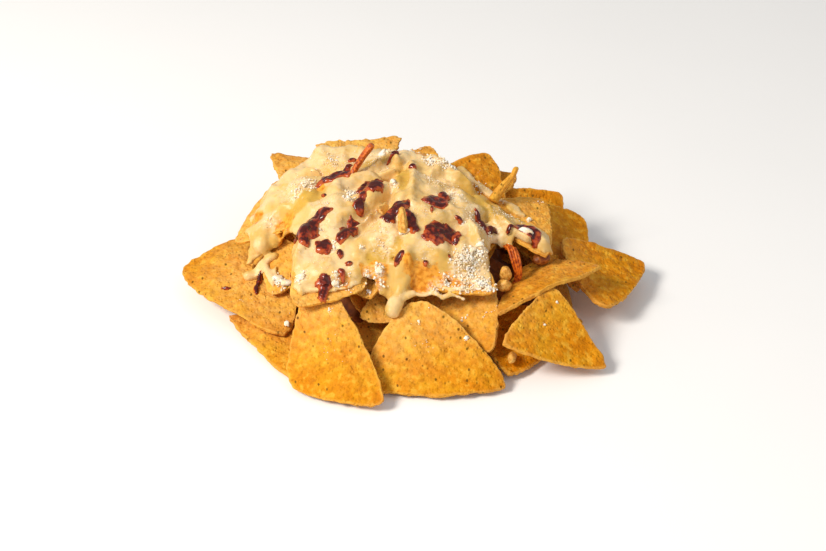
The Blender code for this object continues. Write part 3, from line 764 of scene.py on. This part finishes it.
def add_cheese_sauce(finish, chips):
    """A sheet of sauce draped over the chips as high as the frame's sheet, with runs over its rim."""
    low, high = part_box("cheese_sauce")
    margin = 6 * SAUCE_CELL
    field = Field((low.x - margin, low.y - margin), (high.x + margin, high.y + margin), SAUCE_CELL)
    cad_tops = field.tops(tree_of([NODES["cheese_sauce"].data]))
    mask = sauce_outline(field, cad_tops) > 0
    under = field.tops(chips)
    sagged = under.copy()
    for _ in range(SAUCE_SAG):
        sagged = np.maximum(under, blurred(sagged))
    sagged = blurred(sagged)
    hanging = field.covered(SAUCE_HANGING, HANGING_FIRM)
    # The sheet shows the chips under it, but spans the gaps where it hangs
    relief = sagged - blurred(sagged, SAUCE_RELIEF)
    relief += hanging * (np.maximum(relief, -SAUCE_DROOP) - relief)
    folds = sum(height * MM * np.exp(-(field.distance_to(places) / (half_width * MM)) ** 2)
                for height, half_width, places in SAUCE_FOLDS)
    film = field.covered(SAUCE_THIN_AND_SHADE, FILM_FIRM)
    bare = field.covered(SAUCE_BARE, BARE_FIRM, BARE_UNEVEN * field.waves(BARE_UNEVEN_WIDTH, BARE_SEED))
    waves = sum(height * field.waves(width * MM, seed) for height, width, seed in SAUCE_WAVES) * MM
    inside = distance_inside(mask, SAUCE_CELL)
    share = np.sin(np.clip(inside / SAUCE_RIM, 0, 1) * math.pi / 2)
    full = np.where(cad_tops > 0, blurred(cad_tops, 2) - SAUCE_SETTLED + relief, 0)
    full = np.maximum(full, sagged + SAUCE_RIM_THICK) + waves + folds - SAUCE_BARE_SUNK * bare
    at_rim = SAUCE_RIM_THICK + hanging * np.maximum(0, full - sagged - SAUCE_RIM_THICK - SAUCE_DROOP)
    rise = np.maximum(at_rim + share * (full - sagged - at_rim), SAUCE_LEAST)
    # Steep places are painted deeper and greener: partly thin sauce that ran off them, partly painted shade
    steep = 1 - slopes(blurred(full, 3), SAUCE_CELL)[..., 2]
    film = np.maximum(film, np.clip(SAUCE_STEEP_RATE * (steep - SAUCE_STEEP), 0, SAUCE_STEEP_MOST))
    normals = slopes(blurred(sagged, 2), SAUCE_CELL)
    normals += (np.array((0, 0, 1)) - normals) * hanging[..., None]
    base = np.dstack((field.x, field.y, sagged))
    # Near the chips the sheet rises square to them, and from there straight up, over the gaps
    lift = rise * np.clip(normals[..., 2], SAUCE_LEAST_UPRIGHT, 1)
    square = np.minimum(lift, SAUCE_SQUARE)
    over = base + normals * square[..., None]
    over[..., 2] += lift - square
    below = base - normals * SAUCE_SUNK
    free = over[..., 2] - SAUCE_HANG_THICK - SAUCE_HANG_SLOPE * inside
    below[..., 2] = np.where(hanging > 0, np.maximum(below[..., 2], free), below[..., 2])
    bm = slab(mask, below, over)
    for half_width, places in SAUCE_RUNS:
        lifted = Vector((0, 0, RUN_LIFT * half_width)) * MM
        spots = [Vector(place) * MM if place[2:] else on_pile(chips, *place)[0] + lifted for place in places]
        tube(bm, spots, half_width * MM)
    mesh = applied(bm, ("REMESH", {"mode": "VOXEL", "voxel_size": SAUCE_VOXEL, "use_smooth_shade": True}),
                   SAUCE_SMOOTHING)
    points, normals = points_of(mesh), normals_of(mesh)
    dust_and_sheen = field.at(field.dusted(), points)
    lift = []
    for point, heaped in zip(points, dust_and_sheen):
        fine = (FINE_SKIN + FINE_SKIN_DUSTED * heaped) * noise.noise(Vector(point) / FINE_SKIN_WIDTH)
        lift.append((SKIN * noise.noise(Vector(point) / SKIN_WIDTH) + fine) * MM)
    set_points(mesh, points + normals * np.array(lift)[:, None])
    set_attribute(mesh, "thin_and_shade", field.at(film, points))
    set_attribute(mesh, "bare", field.at(bare, points))
    set_attribute(mesh, "dust_and_sheen", dust_and_sheen)
    piece_of("cheese_sauce_poured", mesh, finish, "cheese_sauce")
    return mesh


# ---------------------------------------------------------------- the heap's inside

CORE_SHARE = 0.62  # the height of the dark core, as a share of the heap that it stands in
CORE_REACH = 0.87  # and its length and depth
CORE_LEVELS = 2
CORE_ROUGH, CORE_ROUGH_WIDTH = 2.2, 7 * MM  # the core's lumps: how high in mm, and how wide
INNER_TRIES = 260
INNER_LEVELS = 2
INNER_SEED = 5
INNER_REACH = (0.02, 0.85)  # how far from the middle a chip is laid, as a share of the heap, squared
INNER_UPRIGHT = 1.2  # how much flatter than the heap's own surface it may lie
INNER_DEPTH = (1.5, 9)  # how deep it lies, in mm
INNER_SIZE = (0.75, 0.95)  # its size, as a share of the chip that it is like
INNER_LOWEST = 1 * MM


def add_heap_inside(core_finish, finish, chips_tree):
    """What fills the heap under the chips that show: loose chips laid like scales over a dark core."""
    bm = welded("inner_heap")
    for vert in bm.verts:
        vert.co = vert.co * Vector((CORE_REACH, CORE_REACH, CORE_SHARE))
    core = subdivided(bm, CORE_LEVELS)
    points, normals = points_of(core), normals_of(core)
    rough = [noise.noise(Vector(point) / CORE_ROUGH_WIDTH) * CORE_ROUGH * MM for point in points]
    raised = points + normals * np.array(rough)[:, None]
    raised[:, 2] = np.maximum(raised[:, 2], 0)
    set_points(core, raised)
    piece_of("heap_core", core, core_finish, "inner_heap")
    dome = tree_of([NODES["inner_heap"].data])
    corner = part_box("inner_heap")[1]
    draw = random.Random(INNER_SEED)
    models = [name for name in sorted(NODES) if name.startswith("chip") and name != SHARD_NODE]
    kept, laid = [], []
    for _ in range(INNER_TRIES):
        turn = draw.uniform(0, 2 * math.pi)
        reach = math.sqrt(draw.uniform(*INNER_REACH))
        x, y = corner.x * reach * math.cos(turn), corner.y * reach * math.sin(turn)
        hit, normal, _, _ = dome.ray_cast(Vector((x, y, ABOVE)), DOWN)
        if hit is None:
            continue
        node = draw.choice(models)
        upright = (normal + Vector((0, 0, draw.uniform(0, INNER_UPRIGHT)))).normalized()
        spin = draw.uniform(0, 2 * math.pi)
        depth = draw.uniform(*INNER_DEPTH) * MM
        bm = copied_chip(node, hit - normal * depth, upright, spin, draw.uniform(*INNER_SIZE))
        tree = BVHTree.FromBMesh(bm)
        low = min(vert.co.z for vert in bm.verts)
        if low < INNER_LOWEST or any(tree.overlap(other) for other in (chips_tree, *laid)):
            bm.free()
            continue
        laid.append(tree)
        kept.append(bm)
    joined = bmesh.new()
    for bm in kept:
        mesh = bpy.data.meshes.new("inner")
        bm.to_mesh(mesh)
        joined.from_mesh(mesh)
        bm.free()
    piece_of("chips_inside", subdivided(joined, INNER_LEVELS), finish)


# ---------------------------------------------------------------- dark sauce

# Splashes of dark sauce: middle in mm, half length and half width in mm, and its direction in degrees
# The splash at (-22, 10.5), in the hollow beside the meat strip's foot, is a dark sheet laid as painted shade
SPLASHES = (
    (-39, 18, 9, 4.5, 20), (-33, 25, 3.5, 1.5, 35), (-31, 33, 3, 1.5, 25), (-22, 10.5, 7, 4, 20),
    (-20.5, 4.5, 5, 4, 0), (-25, -0.5, 2.2, 4, 10), (-27, -6, 2.6, 4, 0), (-29, -15.5, 3.5, 3.5, -30),
    (-31.5, -20, 4, 5, -30), (-34, -26, 3, 4, -20), (-46.5, -12, 6, 4, 15), (-52.5, -20, 6.5, 7.5, 0),
    (-52, -27, 3, 4, 0), (-43, -30, 4, 4, 0), (-35, -35, 1.5, 2.5, 0), (-31, -40, 2.5, 1.5, 0),
    (-34, -44, 2, 2.5, 30), (-43, -48, 4, 3, 10), (-43, -52, 2.5, 2, 0), (-76, -15, 1.5, 3.5, -15),
    (-77, -20, 1.5, 3, 10), (-92, -18, 3, 1.5, 0), (-9, -12, 8, 4.5, 30), (-12, -17, 3, 4, 0),
    (-2, -20, 2.5, 8, 10), (0, -25, 2.5, 3, 0), (10, -4.5, 6, 5.5, 0), (14, 1, 3, 3, 0), (8, -14, 1, 3, 0),
    (9, -27, 5.5, 5.5, 0), (15, -23, 6, 5, 0), (19, -26, 2, 3, 0), (12, -21, 4, 2, 0), (21, -14, 2, 1.2, 0),
    (31, -9, 1.7, 6.5, 28), (54, -10, 7.5, 4, -35), (46, -13, 3, 2.5, 0), (38, -13, 2.5, 4, 25),
    (-7, -38.5, 2.4, 3, -35), (16, -35, 1, 1, 0), (5, -38, 1.2, 1, 0), (-11, 30, 3.5, 1.2, 35),
    (-1, 23, 2, 2, 0), (-44, 4, 1.5, 1.2, 0),
)
SPLASH_CELL = 0.55 * MM
SPLASH_THICK = 1.6 * MM
SPLASH_SPREAD = 0.26  # how far the sauce ran past its patches, as a share of their height
SPLASH_SUNK = 0.45 * MM
SPLASH_LOWEST = 8 * MM  # nothing is laid lower than this, where a gap goes down to the table
STEEPEST = 0.3  # on steeper places, by the height of the surface normal, nothing is laid
SPLASH_MARGIN = 8  # room round the outermost splash, in mm
# How far the splashes reach forward, right and back, as shares of the furthest of all, at the left
SPLASH_FRONT, SPLASH_RIGHT, SPLASH_BACK = 0.62, 0.75, 0.5
SPLASH_WAVES = ((0.6, 5, 5), (0.6, 2.2, 6))  # their uneven rims: height, width in mm, and a seed
PULP, PULP_WIDTH, PULP_SEED = 0.9 * MM, 2.4 * MM, 7  # the lumps of pulp: how high and how wide


def add_dark_sauce(finish, pile):
    """Splashes of dark sauce, thick in the middle, whose rims run out flat on what they lie on."""
    reach = max(max(abs(x), abs(y)) + SPLASH_MARGIN for x, y, _, _, _ in SPLASHES) * MM
    field = Field((-reach, -reach * SPLASH_FRONT), (reach * SPLASH_RIGHT, reach * SPLASH_BACK), SPLASH_CELL)
    level = np.full(field.x.shape, -1.0)
    for patch in SPLASHES:
        level = np.maximum(level, field.patch(patch))
    for height, width, seed in SPLASH_WAVES:
        level = level + height * field.waves(width * MM, seed)
    level = blurred(level) + SPLASH_SPREAD
    surface = blurred(field.tops(pile), 2)
    normals = slopes(surface, SPLASH_CELL)
    mask = (level > 0) & (normals[..., 2] > STEEPEST) & (surface > SPLASH_LOWEST)
    base = np.dstack((field.x, field.y, surface))
    depth = np.clip(level, 0, 1)
    swell = np.sqrt(depth) * (SPLASH_THICK + SPLASH_SUNK) - SPLASH_SUNK
    over = base + normals * (swell + PULP * field.waves(PULP_WIDTH, PULP_SEED) * depth)[..., None]
    under = base - normals * (2 * SPLASH_SUNK)
    bm = slab(mask, under, over)
    mesh = applied(bm, ("SMOOTH", {"factor": 0.5, "iterations": 2}))
    set_attribute(mesh, "depth", field.at(depth, points_of(mesh)))
    piece_of("dark_sauce_splashes", mesh, finish)


# ---------------------------------------------------------------- grated cheese

# Heaps of grated cheese: middle in mm, spread in mm, how many crumbs, and the size of its largest in mm
CRUMB_HEAPS = (
    (-53, 14, 4.5, 200, 1.6), (-58, 10, 3.5, 80, 1.4), (-31, 6, 3, 160, 1.8), (-32, -2, 2.5, 90, 1.8),
    (-10, 8, 2, 40, 2.2), (-15, 36, 3, 80, 2.4), (8, 32, 3.5, 170, 1.6), (14, 30, 3.5, 170, 1.6),
    (19, 29, 2.5, 110, 1.6), (31, 26, 8, 60, 1.3), (42, 17, 3, 30, 1.3), (62, 22, 4, 8, 1.4),
    (18, 5, 5, 110, 1.1), (30, -6, 1, 14, 1.4), (56, 5, 1, 10, 2.6), (23, -15, 1.5, 16, 2),
    (-5, -25, 2, 30, 2.2), (-38, -30, 2.5, 80, 1.5), (-17, -41, 2.5, 70, 2.2), (-22, -42, 2, 40, 1.8),
    (-25, -32, 1.5, 14, 1.8), (-53, -44, 2.5, 70, 2), (-37, -47, 2.5, 70, 1.9), (-64, -22, 3.5, 140, 2.2),
    (-61, -41, 1, 8, 2.6), (-40, -54, 2, 18, 1.4), (21, -36, 4.5, 220, 1.7), (26, -34, 4.5, 260, 1.9),
    (31, -31, 3.5, 200, 1.9), (25, -38, 5, 200, 1.5), (15, -41, 2.5, 80, 1.7), (23, -44, 5, 130, 1.7),
    (31, -43, 4, 160, 1.9), (35, -46, 3, 110, 1.8), (10, -45, 4, 50, 1.4), (67, -45, 1, 6, 1.6),
    (60, -57, 1, 4, 2), (2, -57, 1, 6, 1.8), (24, -63, 1.5, 10, 2.2), (35, -15, 9, 120, 1.1),
    (5, -33, 5, 30, 0.8), (-15, -30, 6, 60, 1.2), (-43, -5, 6, 40, 0.9), (-45, -38, 8, 40, 0.8),
    (-71, 5, 4, 30, 1), (-2, 44, 6, 120, 1.4), (-22, -10, 6, 50, 1), (-40, 28, 12, 120, 0.9),
    (-20, 30, 10, 80, 0.9), (12, 12, 12, 140, 0.9), (-15, -20, 10, 80, 0.9), (-45, -20, 12, 90, 0.8),
    (26, -10, 10, 110, 0.9), (-60, 18, 8, 70, 0.9), (5, -15, 9, 60, 0.8), (44, 0, 9, 90, 0.9),
    (-32, -46, 5, 30, 1.1), (-84, -27, 7, 12, 0.8), (-39, -67, 10, 14, 0.7), (7, -67, 11, 16, 0.7),
    (-42, 35, 8, 60, 1.5),
)
# Larger white bits: middle, half length and half width in mm, and direction in degrees
CHEESE_BITS = (
    (53.5, -13.5, 3.6, 2.4, -5), (-5, -25, 3, 1.6, 10), (-66, -20, 3, 2.4, 20), (-62, -23, 2.6, 2.2, 0),
    (-10, 9, 1.6, 2.6, 0), (56, 5, 1.5, 1.3, 0), (-16, 36, 2.6, 1.6, 20), (-17, -41, 1.6, 2.2, 0),
    (-61, -42, 1.2, 2.4, 10), (30, -6, 1, 0.9, 0), (-53, -44, 2.2, 1.6, 0), (-37, -47, 2, 1.6, 30),
    (24, -63, 1.4, 1, 20), (31, -29, 2, 1.5, 0), (27, -31, 2, 1.4, 40),
)
CRUMB_SEED = 23
CRUMB_LEAST = 0.35  # the smallest crumb, in mm
CRUMB_LUMP = 1.4  # larger ones, in mm, are lumps
CRUMB_KINDS = 8  # how many shapes there are of each
CRUMB_SPREAD = 0.62  # how wide the crumbs fall, as a share of their heap's spread
CRUMB_FEW_LARGE = 2.2  # the higher, the fewer of the crumbs are large
CRUMB_REST = 0.22  # how far a crumb's middle lies above what it lies on, as a share of its size
CRUMB_HEAP_FULL = 120  # crumbs that make a heap one millimetre high
# The larger bits: how thick they are, how far they are enlarged, and how high their middle lies
BIT_FLATNESS, BIT_SCALE, BIT_REST = 0.8, 2.3, 0.55


def crumb_shape(seed, subdivisions):
    """One rough crumb, about one unit across: (points, faces)."""
    bm = bmesh.new()
    bmesh.ops.create_icosphere(bm, subdivisions=subdivisions, radius=0.5)
    for vert in bm.verts:
        vert.co *= 0.85 + 0.6 * noise.noise(vert.co * 2.6 + Vector((seed * 5.1, 0, 0)))
        vert.co.y *= 0.86
        vert.co.z *= 0.7
    points = np.array([vert.co for vert in bm.verts])
    faces = np.array([[vert.index for vert in face.verts] for face in bm.faces])
    bm.free()
    return points, faces


def joined_copies(shapes, spots):
    """One mesh of many copies: each spot is (which shape, 3x3 matrix, place)."""
    points, faces, start = [], [], 0
    for which, turned, centre in spots:
        shape_points, shape_faces = shapes[which]
        points.append(shape_points @ np.array(turned).T + np.array(centre))
        faces.append(shape_faces + start)
        start += len(shape_points)
    mesh = bpy.data.meshes.new("copies")
    mesh.from_pydata(np.vstack(points), [], np.vstack(faces).tolist())
    mesh.update()
    return mesh


def add_grated_cheese(finish, pile):
    """Crumbs in heaps and scattered: fine ones in one piece, and the lumps in another."""
    draw = random.Random(CRUMB_SEED)
    fine = [crumb_shape(seed, 1) for seed in range(CRUMB_KINDS)]
    coarse = [crumb_shape(seed + 20, 2) for seed in range(CRUMB_KINDS)]
    grains, lumps = [], []
    for x, y, spread, count, largest in CRUMB_HEAPS:
        for _ in range(count):
            angle = draw.uniform(0, 2 * math.pi)
            reach = abs(draw.gauss(0, CRUMB_SPREAD))
            found = on_pile(pile, x + spread * reach * math.cos(angle), y + spread * reach * math.sin(angle))
            if not found:
                continue
            point, normal = found
            size = CRUMB_LEAST + (largest - CRUMB_LEAST) * draw.random() ** CRUMB_FEW_LARGE
            heaped = max(0, 1 - reach) * min(1, count / CRUMB_HEAP_FULL) * draw.random()
            spun = Euler([draw.uniform(0, 6.3) for _ in range(3)]).to_matrix() * (size * MM)
            centre = point + normal * (CRUMB_REST * size + heaped) * MM
            (lumps if size > CRUMB_LUMP else grains).append((draw.randrange(CRUMB_KINDS), spun, centre))
    for x, y, half_length, half_width, turn in CHEESE_BITS:
        point, normal = on_pile(pile, x, y)
        along = Vector((math.cos(math.radians(turn)), math.sin(math.radians(turn)), 0))
        across = normal.cross(along).normalized()
        lying = Matrix((across.cross(normal), across, normal)).transposed()
        stretch = Matrix.Diagonal((half_length, half_width, BIT_FLATNESS * half_width))
        spun = lying @ stretch * (BIT_SCALE * MM)
        lumps.append((draw.randrange(CRUMB_KINDS), spun, point + normal * (BIT_REST * half_width * MM)))
    piece_of("grated_cheese_grains", joined_copies(fine, grains), finish, smooth=False)
    piece_of("grated_cheese_lumps", joined_copies(coarse, lumps), finish)


# ---------------------------------------------------------------- meat

LUMP_LEVELS = 2
LUMP_SWELL, LUMP_SIZE = 0.6 * MM, 3 * MM  # how uneven a lump of meat is, and over what distance


def fine_lump(node):
    """A lump of meat: a node's mesh, finely divided and made uneven."""
    mesh = subdivided(welded(node), LUMP_LEVELS)
    points, normals = points_of(mesh), normals_of(mesh)
    rise = [LUMP_SWELL * noise.noise(Vector(point) / LUMP_SIZE) for point in points]
    set_points(mesh, points + normals * np.array(rise)[:, None])
    return mesh


STRAND_STEP = 0.5 * MM
STRAND_SIDES = 18
STRAND_UNEVEN, STRAND_RIDGES = 0.3, 0.16  # as shares of its half width
STRAND_ROUND = 3  # how many rings it takes to round an end
STRAND_THINNEST = 0.02
# How fast its unevenness changes round it and along it, and that of the fibres on it
LUMPS_ROUND, LUMPS_ALONG = 1.7, 0.035
FIBRES_ROUND, FIBRES_ALONG = 2.6, 0.02
STRAND_SHIFT = 90  # so that no two strands are uneven in the same way

# Strands: the places they pass with the half width there, all in mm, and how flat they are
MEAT_STRIP = (((-32.5, 17.5, 53.5, 1.7), (-30, 20, 58, 2.1), (-25.6, 22.6, 64.5, 2.4), (-22, 24, 69, 2.5),
               (-20.6, 24.4, 71, 2.0)), 0.7)
MEAT_CONE = (((-5.4, -25, 52, 2.8), (-5.6, -24.5, 56, 2.8), (-5.9, -23.5, 60, 2.2), (-6.2, -22.6, 64.5, 1.3)),
             0.85)
MEAT_SHREDS = tuple(
    (((44.5 + a, -16, 37.5 + b, 0.6), (46.5 + a, -20, 39 + b, 0.8), (48.2 + a, -25, 35.5 + b, 0.8),
      (49.5 + a * 0.7, -27, 28.5 + b, 0.7), (47.7 + a * 0.5, -28.5, 23.5 - b, 0.4)), 0.8)
    for a, b in ((-2.0, 0.4), (-0.9, 1.2), (0.4, 0.8), (1.7, -0.2), (0.6, -1.2), (-1.2, -0.8)))
SHARD = (((38, 11, 46, 5), (42, 14.5, 50.5, 4.2), (46, 17.2, 54.5, 2.8), (48.3, 18.4, 57, 2.3),
          (49.7, 18.8, 61, 2.3)), 0.55)


def strand(places, flatness):
    """A strand through places with a half width at each, with fibres along it and rounded ends: its mesh."""
    spots = [Vector(place[:3]) * MM for place in places]
    widths = [place[3] * MM for place in places]
    rings = []
    for key in range(len(spots) - 1):
        before, after = spots[max(0, key - 1)], spots[min(len(spots) - 1, key + 2)]
        first, second = spots[key], spots[key + 1]
        steps = max(2, round((second - first).length / STRAND_STEP))
        for step in range(steps + (key == len(spots) - 2)):
            t = step / steps
            # A smooth curve through the places
            squared = 2 * before - 5 * first + 4 * second - after
            cubed = 3 * first - before - 3 * second + after
            point = 0.5 * (2 * first + (second - before) * t + squared * t ** 2 + cubed * t ** 3)
            rings.append((point, widths[key] + (widths[key + 1] - widths[key]) * t))
    bm = bmesh.new()
    layers, side = [], Vector((1, 0, 0.2))
    for key, (point, width) in enumerate(rings):
        along = (rings[min(key + 1, len(rings) - 1)][0] - rings[max(key - 1, 0)][0]).normalized()
        across = along.cross(side).normalized()
        side = across.cross(along).normalized()
        from_end = min(key, len(rings) - 1 - key) / STRAND_ROUND
        width *= math.sqrt(max(STRAND_THINNEST, 1 - max(0, 1 - from_end) ** 2))
        layer = []
        for count in range(STRAND_SIDES):
            angle = 2 * math.pi * count / STRAND_SIDES
            out = across * math.cos(angle) + side * math.sin(angle) * flatness
            at = Vector((math.cos(angle) * LUMPS_ROUND, math.sin(angle) * LUMPS_ROUND, key * LUMPS_ALONG))
            at += spots[0] * STRAND_SHIFT
            fibre = noise.noise(Vector((at.x * FIBRES_ROUND, at.y * FIBRES_ROUND, key * FIBRES_ALONG)))
            swell = 1 + STRAND_UNEVEN * noise.noise(at) + STRAND_RIDGES * fibre
            layer.append(bm.verts.new(point + out * width * swell))
        layers.append(layer)
    for lower, upper in zip(layers, layers[1:]):
        for count in range(STRAND_SIDES):
            after = (count + 1) % STRAND_SIDES
            bm.faces.new((lower[count], lower[after], upper[after], upper[count]))
    bm.faces.new(list(reversed(layers[0])))
    bm.faces.new(layers[-1])
    bmesh.ops.recalc_face_normals(bm, faces=bm.faces[:])
    return subdivided(bm, 1)


def add_meat(chip_finish):
    roasted = meat_finish("roasted_meat", "DC701A", "96380A")
    pale = meat_finish("boiled_meat", "EAB458", "C98A30")
    # The lump under the right lip is painted darker than the other lumps: painted shade
    meat_in_painted_shade = meat_finish("meat_painted_in_shade", "A05A1A", "6E300A")
    piece_of("meat_strip_cooked", strand(*MEAT_STRIP), roasted, "meat_strip_top")
    for count, shred in enumerate(MEAT_SHREDS):
        piece_of(f"meat_shred_cooked_{count}", strand(*shred), roasted, "meat_shred_right")
    piece_of("meat_cone_cooked", strand(*MEAT_CONE), pale, "meat_cone_top")
    piece_of("chip_shard_fried", strand(*SHARD), chip_finish, SHARD_NODE)
    for node in ("meat_between_upper", "meat_between_lower", "meat_under_right", "meat_under_front"):
        finish = meat_in_painted_shade if node == "meat_under_right" else pale
        piece_of(node + "_cooked", fine_lump(node), finish, node)


# ---------------------------------------------------------------- floor, light and camera

TABLE_REACH = 1.6  # from the heap's middle to the table's edge, in metres
SKY_LIGHT = 0.42  # how bright the white room round it is


def add_floor(finish):
    bm = bmesh.new()
    bmesh.ops.create_grid(bm, x_segments=8, y_segments=8, size=TABLE_REACH)
    mesh = bpy.data.meshes.new("table_top")
    bm.to_mesh(mesh)
    bm.free()
    mesh.materials.append(finish)
    floor = bpy.data.objects.new("table_top", mesh)
    floor.location.z = LOW.z
    bpy.context.scene.collection.objects.link(floor)


def add_light(name, direction, distance, size, power, colour):
    """A square soft light that points at the heap, from an azimuth and an elevation in degrees."""
    azimuth, elevation = [math.radians(angle) for angle in direction]
    data = bpy.data.lights.new(name, "AREA")
    data.size = size
    data.energy = power
    data.color = linear(colour)[:3]
    lamp = bpy.data.objects.new(name, data)
    level = math.cos(elevation)
    towards = Vector((math.sin(azimuth) * level, -math.cos(azimuth) * level, math.sin(elevation)))
    lamp.location = towards * distance
    lamp.rotation_euler = (-lamp.location).to_track_quat("-Z", "Y").to_euler()
    bpy.context.scene.collection.objects.link(lamp)


def add_studio():
    add_light("key", (-58, 44), 1.3, 0.38, 16.5, "FFF8EE")
    add_light("fill", (50, 35), 1.5, 1.2, 2.6, "FFFFFF")
    world = bpy.data.worlds.new("studio")
    world.use_nodes = True
    sky = world.node_tree.nodes["Background"]
    sky.inputs["Color"].default_value = (1, 1, 1, 1)
    sky.inputs["Strength"].default_value = SKY_LIGHT
    bpy.context.scene.world = world
    bpy.context.scene.view_settings.view_transform = "Standard"


CAMERA_ELEVATION = math.radians(35)
CAMERA_DISTANCE = 0.82
CAMERA_LENS = 71.5
CAMERA_TARGET = Vector((-0.9, 2.4, 7.8)) * MM


def add_camera():
    data = bpy.data.cameras.new("camera")
    data.lens = CAMERA_LENS
    data.clip_start = 0.01
    camera = bpy.data.objects.new("camera", data)
    away = Vector((0, -math.cos(CAMERA_ELEVATION), math.sin(CAMERA_ELEVATION)))
    camera.location = CAMERA_TARGET + away * CAMERA_DISTANCE
    camera.rotation_euler = (-away).to_track_quat("-Z", "Y").to_euler()
    bpy.context.scene.collection.objects.link(camera)
    bpy.context.scene.camera = camera


add_camera()
add_studio()
add_floor(table_finish())
fried_dough = corn_chip_finish()
chips = add_chips(fried_dough)
chips_tree = tree_of(chips.values())
chip_pieces = add_chip_pieces(fried_dough)
add_heap_inside(heap_core_finish(), corn_chip_finish("fried_corn_dough_in_shade", 0.15), chips_tree)
sauce = add_cheese_sauce(cheese_sauce_finish(), tree_of([*chips.values(), *chip_pieces]))
add_dust_and_sheen(chips, sauce)
add_meat(fried_dough)
pile = tree_of([*chips.values(), *chip_pieces, sauce])
add_dark_sauce(dark_sauce_finish(), pile)
add_grated_cheese(grated_cheese_finish(), pile)
